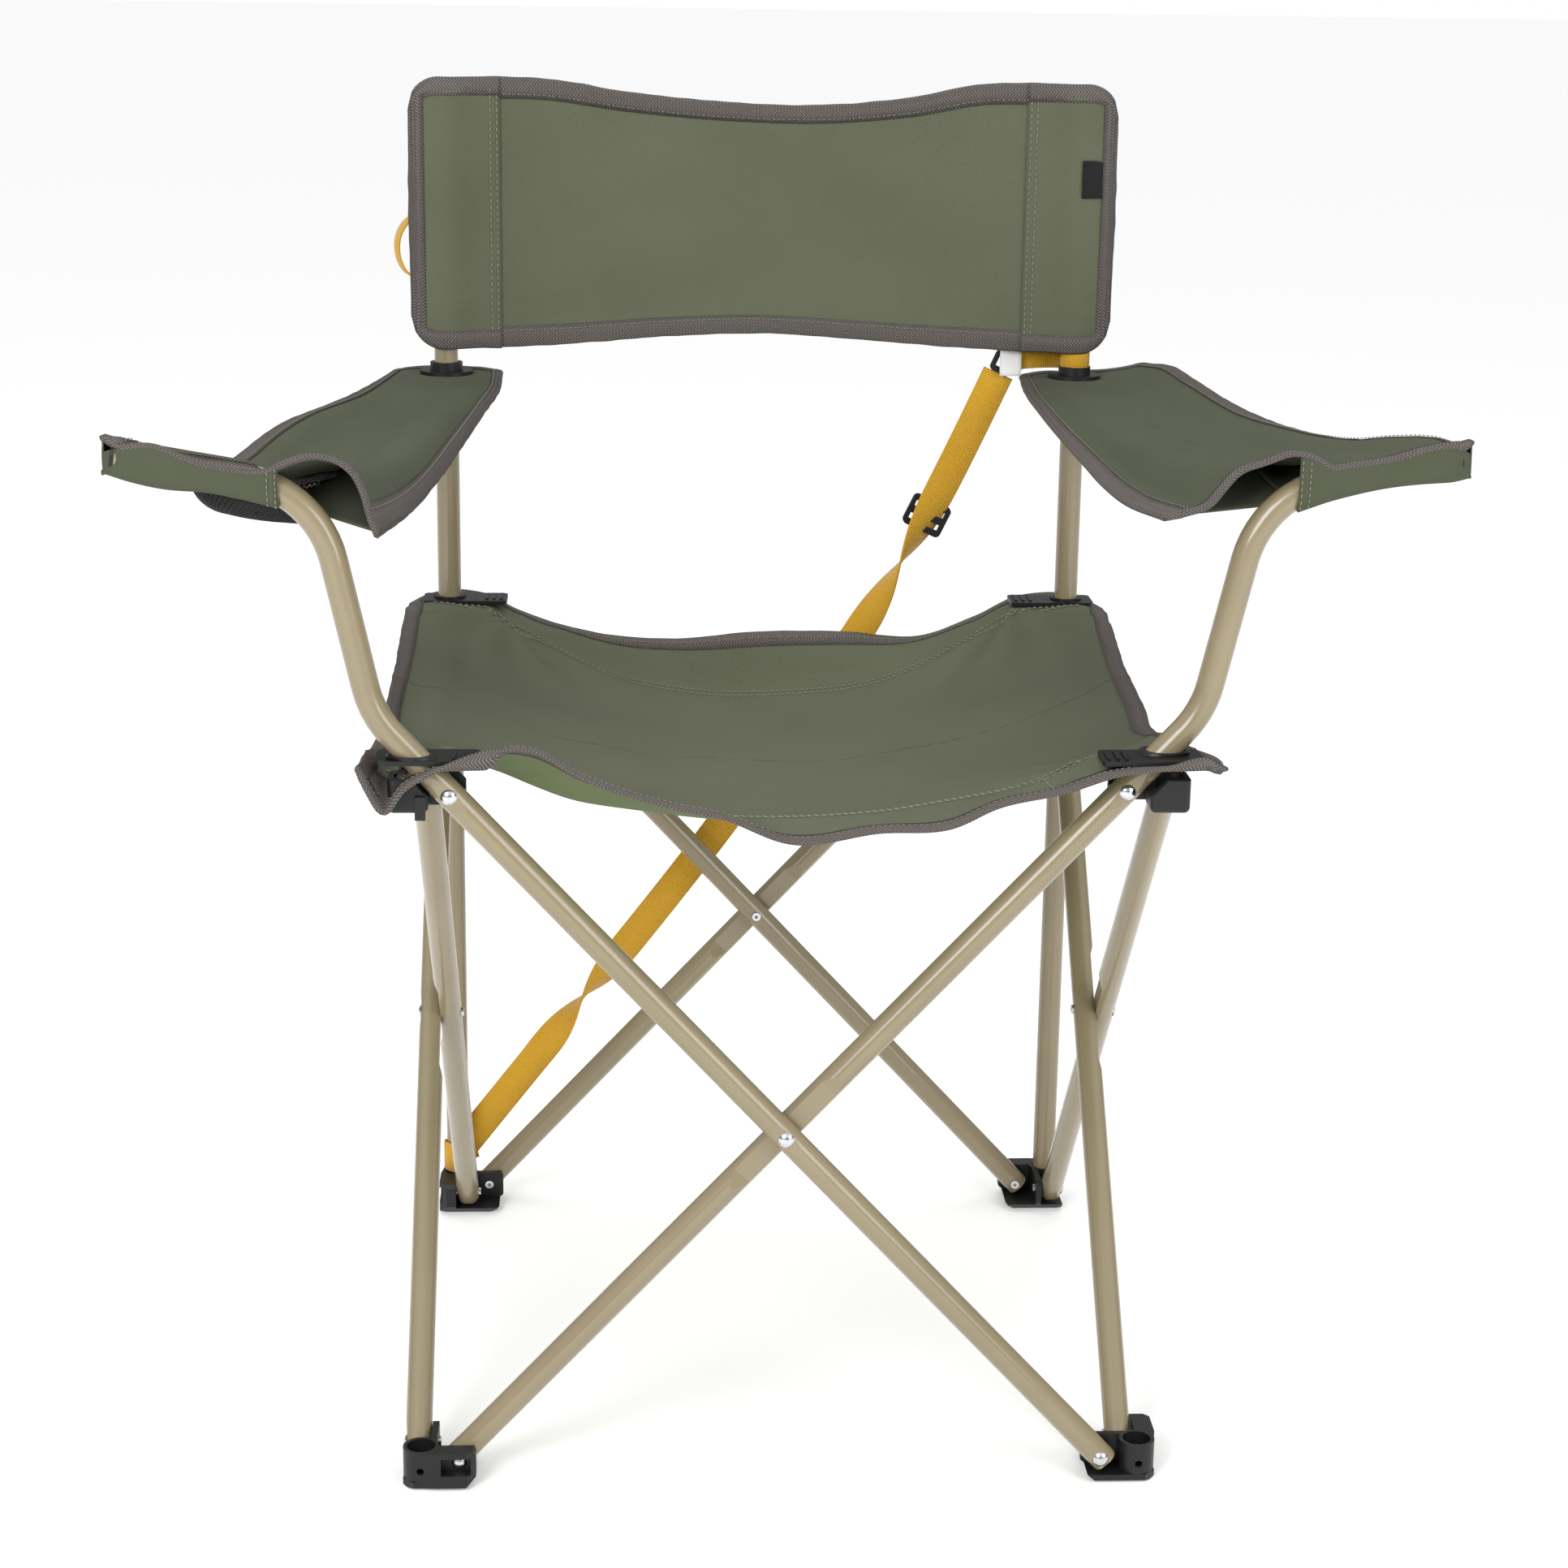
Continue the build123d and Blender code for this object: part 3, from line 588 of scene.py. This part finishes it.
for half, v_span, body, node in (
    ("front", (0.0, 0.502), "seat_front", "seat_front_half"),
    ("rear", (0.498, 1.0), "seat_rear", "seat_rear_half"),
):
    fold = ((1, 0, 0), (-0.1875, 0, 0.448), 0.232)
    sling = cloth(f"seat_{half}_cloth", seat, 4.0, v_span=v_span)
    attach(sling, body, [node], fold)
    tapes = [binding(f"seat_{half}_hem", seat, half, 11.0, seed=1.0)]
    for edge in ("left", "right"):
        tapes.append(binding(f"seat_{half}_{edge}_hem", seat, edge, 12.5, v_span, seed=2.0))
    line_v = 0.084 if half == "front" else 0.912
    for row in range(2):
        level = line_v + (0.009 * row if half == "rear" else 0.006 * row)
        path = lambda t, level=level: (0.04 + 0.92 * t, np.full_like(t, level))
        tapes.append(stitches(f"seat_{half}_seam_{row}", seat, path))
    if half == "front":
        corner = lambda u, v: seat(u, v) + np.array([0, -0.4, 1.0])
        patch = cloth("seat_front_corner_tape", corner, 3.0, u_span=(0.0, 0.085), v_span=(0.0, 0.062))
        patch.data.materials[0] = TAPE
        patch.data.materials[1] = TAPE
        tapes.append(patch)
        rings = []
        for t in np.linspace(0, 1, 14):
            swell = math.sqrt(max(0.002, 1 - (1 - min(1, t * 4)) ** 2))
            centre = right_side(0.15 * t) + np.array([-1.5, -2.5 * (1 - t), -0.5 * (1 - t)])
            turns = np.linspace(0, 2 * math.pi, 15)[:-1]
            rings.append([centre + np.array([2.4 * math.cos(a), 0, (6.0 - 4.6 * t) * math.sin(a)]) * swell for a in turns])
        tapes.append(tube_of_rings("seat_front_corner_roll", rings, [TAPE]))
        tapes.append(stitches("seat_cross_stitch", seat, lambda t: (np.full_like(t, 0.815), 0.02 + 0.06 * t)))
    tape_v = 0.0125 if half == "front" else 1 - 0.0125
    tapes.append(stitches(f"seat_{half}_hem_thread", seat, lambda t, tape_v=tape_v: (0.01 + 0.98 * t, np.full_like(t, tape_v)), 1.15, 3.4, 0.3))
    for tape in tapes:
        attach(tape, body, fold=fold)

# ---------------------------------------------------------------- backrest
back_top = Line((-182, HALF, 805), (-150, 222, 804), (-90, 232, 795), (-20, 236, 789), (40, 236, 788), (100, 231, 794), (150, 222, 804), (182, HALF, 805))
back_bottom = Line((-182, HALF, 627), (-130, 224, 629), (-60, 233, 634), (0, 236, 636), (60, 234, 633), (130, 224, 629), (182, HALF, 627))
back_left = Line((-182, HALF, 627), (-182, HALF, 716), (-182, HALF, 805))
back_right = Line((182, HALF, 627), (182, HALF, 716), (182, HALF, 805))
back_frame = coons(back_bottom, back_top, back_left, back_right)


def back(u, v):
    made = back_frame(u, v)
    x, z = made[..., 0], made[..., 2]
    middle = np.sin(np.pi * v) * np.sin(np.pi * u)
    waves = crumple(np.stack([x * 0.6, z * 1.1, x * 0], -1), 52, 3.0, 9.0)
    pulls = 1.4 * np.sin(z / 9.0) * np.exp(-((182 - np.abs(x)) / 30) ** 2) * np.sin(np.pi * v)
    made[..., 1] = made[..., 1] + 3.0 * middle + (waves + pulls) * np.minimum(1, 6 * u * (1 - u))
    return made


back_fold = ((1, 0, 0), (-0.180, 0, 0.7), 0.194)
panel = cloth("backrest_cloth", back, 4.0, under=CLOTH_GREEN)
attach(panel, "post_left_body", ["back_panel"], back_fold)
back_parts = [
    binding("backrest_top_hem", back, "rear", 11.0, seed=5.0),
    binding("backrest_bottom_hem", back, "front", 11.0, seed=6.0),
]
for name, v_at in (("top", 0.945), ("bottom", 0.055)):
    back_parts.append(stitches(f"backrest_{name}_thread", back, lambda t, v_at=v_at: (0.005 + 0.99 * t, np.full_like(t, v_at)), 1.2, 3.4, 0.3))
for part in back_parts:
    attach(part, "post_left_body", fold=back_fold)


def pocket_side(side, front):
    """One layer of the pocket over a post, from the seam to the rounded outer edge."""

    def surface(u, v):
        x = 178 + 61 * u
        corner = 20 * (1 - np.sqrt(np.clip(1 - np.clip((x - 219) / 20, 0, 1) ** 2, 0, 1)))
        low, high = 627 + corner, 805 - corner
        z = low + (high - low) * v
        swell = np.exp(-(((x - 214) / 17) ** 2)) * (10.6 if front else 10.2)
        closed = 1 - smooth((v - 0.945) / 0.05)
        flat = 1.0 if front else -1.0
        puff = 1.3 * np.sin(z / 23 + (2 if side > 0 else 0)) * np.sin(np.pi * u) * np.sin(np.pi * v)
        edge = np.clip((1 - u) / 0.12, 0, 1)
        out = (swell * (0.22 + 0.78 * closed) + puff) * edge
        y = HALF - flat * (0.9 + out)
        return np.stack([side * x, y, z], -1)

    return surface


for side, name in ((-1, "left"), (1, "right")):
    body = f"post_{name}_body"
    parts = []
    for front in (True, False):
        layer = "front" if front else "rear"
        shape = pocket_side(side, front)
        flip = (side > 0) != front
        sheet = cloth(f"post_pocket_{name}_{layer}", shape, 4.0, flip=flip)
        parts.append(sheet)
        for edge in ("front", "rear", "right"):
            parts.append(binding(f"post_pocket_{name}_{layer}_{edge}_hem", shape, edge, 11.0, flip=flip, seed=7.0))
        for row, u_at in enumerate((0.035, 0.105)):
            seam = lambda t, u_at=u_at: (np.full_like(t, u_at), 0.03 + 0.94 * t)
            parts.append(stitches(f"post_pocket_{name}_{layer}_seam_{row}", shape, seam, 0.5, flip=flip))
    for part in parts:
        attach(part, body)
    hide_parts(f"back_sleeve_{name}")

across, upwards = np.meshgrid(np.linspace(0.6, 0.83, 8), np.linspace(0.585, 0.725, 14), indexing="ij")
label_points = (pocket_side(1, True)(across, upwards) + np.array([0, -0.9, 0])).reshape(-1, 3)
label = new_object("side_label", label_points, grid_faces(8, 14), [LABEL], [(p[0] * 0.001, p[2] * 0.001) for p in label_points])
label.modifiers.new("thickness", "SOLIDIFY").thickness = 0.0006
attach(label, "post_right_body")
care_points = []
for u in np.linspace(0, 1, 6):
    for v in np.linspace(0, 1, 10):
        care_points.append((165 + 15 * u, 221.5 + 2.5 * math.sin(2.2 * v) - 1.5 * v, 632 - 24 * v))
care = new_object("care_label", care_points, grid_faces(6, 10), [CARE], [(p[0] * 0.001, p[2] * 0.001) for p in care_points])
care.modifiers.new("thickness", "SOLIDIFY").thickness = 0.0005
attach(care, "post_right_body")

# ---------------------------------------------------------------- armrests
TIP_Z, TIP_X, BEND_Z, BEND_X = 621.2, 371.0, 603.1, 263.2


def over_tube(points, leg_y, upper):
    """Keeps a sheet off the armrest leg's straight tip."""
    x, y, z = np.abs(points[..., 0]), points[..., 1], points[..., 2]
    axis = BEND_Z + (TIP_Z - BEND_Z) * (x - BEND_X) / (TIP_X - BEND_X)
    reach = np.sqrt(np.clip(9.8**2 - (y - leg_y) ** 2, 0, None))
    on = smooth((x - 288) / 10)
    if upper:
        wanted = np.maximum(z, axis + reach)
        z = np.where(reach > 0, z + (wanted - z) * on, z)
    else:
        wanted = np.minimum(z, axis - reach)
        z = np.where(reach > 0, z + (wanted - z) * on, z)
    made = points.copy()
    made[..., 2] = z
    return made


arm_lines = {
    "left": dict(
        leg_y=-219.0,
        hem=[(-378, -221, 625), (-366, -228, 628.5), (-352, -231, 630.5), (-327, -231, 622), (-303, -230.5, 617.5), (-290, -230, 617.5),
             (-279, -229, 622), (-265, -228, 625.5), (-252, -226, 622.5), (-242, -225, 614), (-237, -224, 603), (-234, -223, 591), (-230, -222, 579)],
        outer=[(-378, -221, 625), (-368, -192, 619), (-350, -160, 612), (-328, -98, 608), (-317, -52, 607), (-304, 0, 607),
               (-287, 55, 607), (-274, 105, 607), (-261, 170, 607.5), (-252, 226, 608)],
        rear=[(-252, 226, 608), (-240, 240, 608.5), (-216, 244, 608.5), (-192, 241, 608), (-179, 230, 607.5)],
        inner=[(-230, -222, 579), (-223, -180, 579.5), (-215, -130, 581), (-204, -50, 585), (-195, 30, 591), (-186, 110, 598),
               (-179, 175, 603), (-179, 230, 607.5)],
        low=[(-378, -221, 612), (-362, -229, 609), (-342, -229.5, 605), (-321, -229, 603), (-299, -228, 598.5), (-283, -227, 594.5)],
        sag=7.0,
    ),
    "right": dict(
        leg_y=-208.0,
        hem=[(379, -210, 626), (368, -218, 631), (354, -220, 629.5), (335, -220, 624), (312, -219.5, 620.5), (300, -219, 619),
             (290, -218, 624), (280, -217.5, 626.5), (262, -216, 621), (248, -214, 615), (240, -213.5, 606), (232, -213, 596), (220, -212, 591.5), (207, -212, 588.5)],
        outer=[(379, -210, 626), (372, -192, 628), (356, -165, 625), (339, -135, 619), (329, -108, 616), (315, -50, 613),
               (305, 20, 611), (296, 90, 612), (288, 150, 615.5), (280, 195, 618.5), (266, 231, 616)],
        rear=[(266, 231, 616), (248, 240, 611), (216, 243, 608.5), (192, 240, 608), (180, 228, 607)],
        inner=[(207, -212, 588.5), (193, -175, 589.5), (185, -130, 593), (181, -85, 597), (178, 0, 600), (178, 110, 601),
               (178, 180, 603), (180, 228, 607)],
        low=[(379, -210, 612.5), (366, -218, 611.5), (352, -218.5, 610.5), (327, -218, 607), (302, -217.5, 601), (281, -216, 594.5)],
        sag=9.0,
    ),
}
CUP = (-300.0, -150.0, 41.0)

for side, name in ((-1, "left"), (1, "right")):
    lines = arm_lines[name]
    leg_y = lines["leg_y"]
    body = f"armrest_{name}_body"
    fold = ((0, 1, 0), (0, (leg_y - 2) * 0.001, 0.6), 0.5)
    hem, outer = Line(*lines["hem"]), Line(*lines["outer"])
    rear, inner = Line(*lines["rear"]), Line(*lines["inner"])
    frame_of_arm = coons(hem, rear, outer, inner)

    def top(u, v, frame_of_arm=frame_of_arm, leg_y=leg_y, sag=lines["sag"], side=side):
        made = frame_of_arm(u, v)
        x, y = made[..., 0], made[..., 1]
        hang = np.sin(np.pi * np.clip(u, 0, 1)) * np.sin(np.pi * np.clip(v, 0, 1) ** 0.8)
        waves = crumple(np.stack([x, y * 0.6, x * 0], -1), 47, 2.6, 20.0 + side) * np.minimum(1, 5 * np.sin(np.pi * np.clip(v, 0, 1)))
        made[..., 2] = made[..., 2] - sag * hang + waves * np.minimum(1, 6 * u * (1 - u))
        if side < 0:
            made[..., 2] = made[..., 2] - 15 * np.exp(-(((x - CUP[0]) / 62) ** 2) - ((y - CUP[1] - 28) / 76) ** 2)
        near = smooth((30 - np.hypot(x - side * HALF, y - HALF)) / 9)
        made[..., 2] = made[..., 2] + (607.9 - made[..., 2]) * near
        return over_tube(made, leg_y, True)

    flip = side > 0
    hole = CUP if side < 0 else None
    # The armrest cloth, pocket, tip and under piece all take the darker copy of the cloth, as painted shade.
    sheet = cloth(f"armrest_{name}_cloth", top, 3.2, flip=flip, hole=hole, over=CLOTH_ARM_PAINTED_SHADE, under=CLOTH_ARM_PAINTED_SHADE)
    attach(sheet, body, [f"armrest_{name}"], fold)
    parts = []
    for edge, width in (("front", 7.5), ("rear", 8.0), ("left", 11.0), ("right", 12.5)):
        parts.append(binding(f"armrest_{name}_{edge}_hem", top, edge, width, flip=flip, lift=0.9, seed=11.0 + side))
    for which, u_at in (("outer", 0.075), ("inner", 0.915)):
        parts.append(stitches(f"armrest_{name}_{which}_thread", top, lambda t, u_at=u_at: (np.full_like(t, u_at), 0.01 + 0.98 * t), 1.2, 3.4, 0.3, flip=flip))

    low = Line(*lines["low"])
    t = np.linspace(0, 1, 14)
    low_points = low(t)
    hem_t = np.interp(np.abs(low_points[:, 0]), np.abs(hem(np.linspace(0, 1, 300))[::-1, 0]), np.linspace(0, 1, 300)[::-1])
    hem_points = hem(hem_t) + np.array([0, -0.6, -1.2])
    middle = (hem_points + low_points) / 2 + np.array([0, -0.8, 0])
    under = low_points + np.array([0, 14.0, -1.0])
    v_back = 0.15
    top_t = np.linspace(0.0, 0.52, 14)
    behind = top(top_t, np.full_like(top_t, v_back)) - np.array([0, 0, 1.8])
    flap = loft(Line(*hem_points), Line(*middle), Line(*low_points), Line(*under), Line(*behind))
    pocket = cloth(f"armrest_{name}_pocket", flap, 3.2, flip=not flip, over=CLOTH_ARM_PAINTED_SHADE, under=CLOTH_ARM_PAINTED_SHADE)
    parts.append(pocket)

    def tip(u, v, flap=flap, top=top, side=side, v_back=v_back):
        lower, upper = flap(u * 0, v), top(u * 0, v * v_back)
        made = lower + (upper - lower) * u[..., None]
        made[..., 0] = made[..., 0] + side * 4.5 * np.sin(np.pi * u) * np.sin(np.pi * v)
        return made

    parts.append(cloth(f"armrest_{name}_tip", tip, 2.0, flip=flip, over=CLOTH_ARM_PAINTED_SHADE, under=CLOTH_ARM_PAINTED_SHADE))
    for row, u_at in enumerate((0.985, 0.94)):
        parts.append(stitches(f"armrest_{name}_pocket_thread_{row}", flap, lambda t, u_at=u_at: (np.full_like(t, u_at), 0.05 + 0.5 * t), 0.5, 3.4, 0.35, flip=not flip))
    corner = np.array(lines["inner"][0], float)
    first = under[-1] + np.array([0, 8.0, 0.0])
    front_edge = Line(first, (first + corner) / 2 + np.array([0, 8.0, -1.5]), corner + np.array([-side * 2.0, 3.0, -0.5]))
    inner_t = np.linspace(0.52, 0.985, 10)
    back_edge = Line(*(top(inner_t, np.full_like(inner_t, v_back)) - np.array([0, 0, 1.8])))
    left_edge = Line(front_edge(0.0), back_edge(0.0))
    right_edge = Line(front_edge(1.0), back_edge(1.0))
    floor_sheet = coons(front_edge, back_edge, left_edge, right_edge)
    under_piece = cloth(f"armrest_{name}_under", floor_sheet, 3.2, flip=not flip, over=CLOTH_ARM_PAINTED_SHADE, under=CLOTH_ARM_PAINTED_SHADE)
    parts.append(under_piece)
    parts.append(stitches(f"armrest_{name}_under_thread", floor_sheet, lambda t: (0.03 + 0.94 * t, np.full_like(t, 0.12)), 0.5, 3.4, 0.35, flip=not flip))
    for part in parts:
        sleeved = "pocket" in part.name or part.name.endswith("_tip")
        attach(part, body, fold=None if sleeved else fold)

# ---------------------------------------------------------------- net cup
left_top = None
for obj in pieces_made:
    if obj.name == "armrest_left_cloth":
        left_top = np.array([v.co for v in obj.data.vertices]) * 1000 - SHIFT
angles = np.linspace(0, 2 * math.pi, 97)[:-1]


def rim_height(x, y):
    return left_top[np.argmin(np.hypot(left_top[:, 0] - x, left_top[:, 1] - y)), 2]


rim = np.array([rim_height(CUP[0] + 42.5 * math.cos(a), CUP[1] + 42.5 * math.sin(a)) for a in angles])
for repeat in range(4):
    rim = (np.roll(rim, 1) + rim + np.roll(rim, -1)) / 3
rings = []
for a, z in zip(angles, rim):
    out = np.array([math.cos(a), math.sin(a), 0])
    centre = np.array([CUP[0], CUP[1], z])
    section = [(37.5, 0.2), (40, 1.3), (46, 1.3), (48, 0.4), (48, -2.2), (46, -2.9), (40, -2.9), (37.5, -2.0)]
    rings.append([centre + out * r + np.array([0, 0, h]) for r, h in section])
rings.append(rings[0])
cup_fold = ((0, 1, 0), (0, -0.221, 0.6), 0.5)
cup_rim = tube_of_rings("cup_rim", rings, [TAPE], caps=False)
attach(cup_rim, "armrest_left_body", fold=cup_fold)
points, columns = [], 72
levels = np.concatenate([np.linspace(0, 1, 13), np.linspace(1, 2, 12)[1:-1]])
for k, level in enumerate(levels):
    for j in range(columns):
        a = 2 * math.pi * (j + 0.5 * (k % 2)) / columns
        z_top = np.interp(a % (2 * math.pi), angles, rim) - 2
        if level <= 1:
            radius = 41.5 * math.cos(0.62 * level)
            z = z_top + (580.0 - z_top) * math.sin(1.1 * level) / math.sin(1.1)
        else:
            radius = 33.8 * (2 - level) ** 0.9
            z = 580.0 - 4.0 * math.sin((level - 1) * math.pi / 2) + 0.8 * math.sin(a * 3)
        z = z - 0.14 * radius * math.cos(a) * min(level, 1)
        points.append((CUP[0] + radius * math.cos(a), CUP[1] + radius * math.sin(a), z))
faces = []
for k in range(len(levels) - 1):
    for j in range(columns):
        n = (j + 1) % columns
        a, b, c, d = k * columns + j, k * columns + n, (k + 1) * columns + n, (k + 1) * columns + j
        if k % 2:
            faces += [(a, b, c), (a, c, d)]
        else:
            faces += [(a, b, d), (b, c, d)]
net = new_object("cup_net", points, faces, [NET])
wires = net.modifiers.new("threads", "WIREFRAME")
wires.thickness = 0.00085
attach(net, "armrest_left_body", ["cup_mesh"], cup_fold)

# ---------------------------------------------------------------- carry strap
route = [(165.0, 609.0), (143.0, 560.0), (118.0, 508.0), (89.0, 453.0), (52.0, 394.0), (8.0, 330.0), (-35.0, 268.0),
         (-80.0, 208.0), (-122.0, 154.0), (-160.0, 104.0), (-191.0, 64.0), (-214.0, 34.0)]
STRAP_Y = 230.1
line_data = bpy.data.curves.new("strap_line", "CURVE")
line_data.dimensions = "3D"
line_data.resolution_u = 14
spline = line_data.splines.new("NURBS")
spline.points.add(len(route) - 1)
for point, (x, z) in zip(spline.points, route):
    point.co = (x * 0.001, (STRAP_Y - 2) * 0.001, z * 0.001, 1)
spline.order_u = 3
spline.use_endpoint_u = True
line_object = bpy.data.objects.new("strap_line", line_data)
bpy.context.scene.collection.objects.link(line_object)
bpy.context.view_layer.update()
read = bpy.data.meshes.new_from_object(line_object)
centre = np.array([v.co for v in read.vertices]) * 1000 - SHIFT
bpy.data.objects.remove(line_object)
run = np.concatenate([[0], np.cumsum(np.linalg.norm(np.diff(centre, axis=0), axis=1))])
even = np.linspace(0, run[-1], 260)
centre = np.stack([np.interp(even, run, centre[:, k]) for k in range(3)], -1)
along = unit(np.gradient(centre, axis=0))
flat_side = unit(np.cross(along, np.array([0, 1.0, 0])))
back_way = np.array([0, 1.0, 0])


def strap_turn(z):
    """How far the webbing has turned about its own line, in radians, by its height."""
    first = smooth((535 - z) / 130)
    second = smooth((195 - z) / 95)
    return math.pi * (first + second)


turn = strap_turn(centre[:, 2])[:, None]
side = flat_side * np.cos(turn) + back_way * np.sin(turn)
strap = ribbon("strap_webbing", centre, side, 22.0, 1.5, WEBBING)
path = ((centre[::4] + SHIFT) * 0.001).tolist() + [((centre[-1] + SHIFT) * 0.001).tolist()]
attach(strap, "post_left_body", ["carry_strap"], ((1, 0, 0), (-0.214, 0, 0.3), 0.235))

hook = centre[0]
loops = []


def loop_round(name, x, z_low, z_high, tongue, body, nodes):
    """Webbing sewn round a post, with a tongue of it running on."""
    t = np.linspace(0, 1, 40)
    angle = radians(60) + t * radians(420 - 90)
    ring = np.stack([x + 9.4 * np.cos(angle), HALF + 9.4 * np.sin(angle), np.full_like(t, (z_low + z_high) / 2)], -1)
    ring[:, 2] = ring[:, 2] + 0.6 * np.sin(angle * 2)
    line = np.vstack([ring, tongue])
    line = Line(*line)(np.linspace(0, 1, 110))
    made = ribbon(name, line, np.tile([0, 0, 1.0], (len(line), 1)), z_high - z_low, 1.5, WEBBING)
    attach(made, body, nodes)
    return made


right_loop = loop_round(
    "strap_loop_right_webbing", HALF, 613, 631, [(212, 227, 622), (203, 229.6, 622), (190, 230, 621.5), (180, 230, 620.5), (174, 230, 618.5)],
    "post_right_body", ["strap_loop_right"])
left_loop = loop_round(
    "strap_loop_left_webbing", -HALF, 24, 46, [(-218, 228, 35), (-212, 230.5, 35), (-204, 231.4, 37)], "post_left_body", ["strap_loop_left"])

drop = Line((-234, 224, 714), (-242, 226, 709), (-248, 228, 699), (-248.5, 228, 687), (-244, 226, 677), (-234, 224, 670))(np.linspace(0, 1, 50))
store = ribbon("store_loop_webbing", drop, np.tile([-0.25, 1.0, 0], (50, 1)), 17, 1.4, WEBBING)
attach(store, "post_left_body", ["store_loop"])
